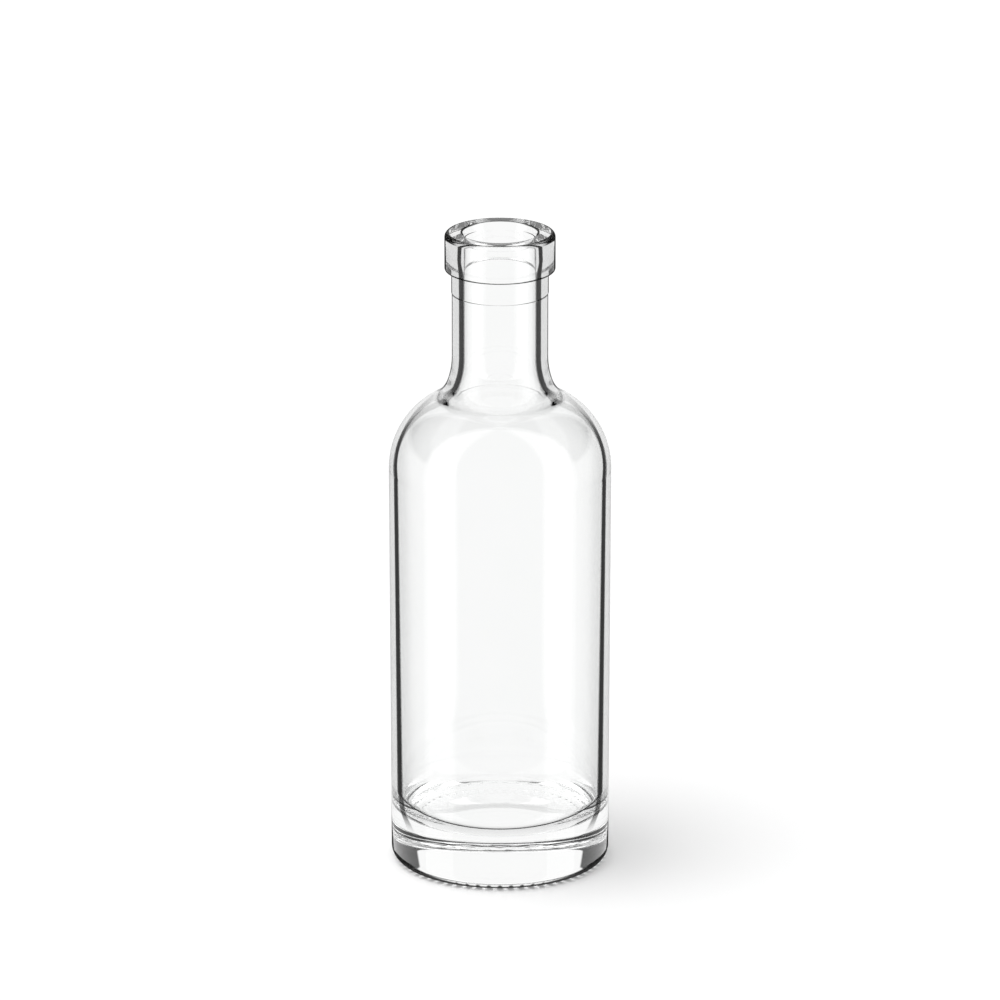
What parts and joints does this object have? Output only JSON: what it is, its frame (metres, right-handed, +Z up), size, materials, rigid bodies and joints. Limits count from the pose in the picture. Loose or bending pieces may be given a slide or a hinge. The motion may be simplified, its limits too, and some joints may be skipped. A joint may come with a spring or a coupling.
{
  "type": "glass bottle",
  "caption": "Clear round glass bottle with a straight neck, a thick collar with a plain bore for a push-in stopper, a domed shoulder and a heavy solid foot.",
  "frame": {"origin": "on the axis, in the plane of the bearing ring that the bottle stands on", "axes": "+Z up along the axis and out of the mouth; +X and +Y are alike, the bottle is round"},
  "size_m": [0.0661, 0.066, 0.195],
  "materials": {
    "glass": "clear, colourless, fire-polished soda-lime glass"
  },
  "bodies": {
    "root": {"bottle": "glass"}
  },
  "joints": []
}
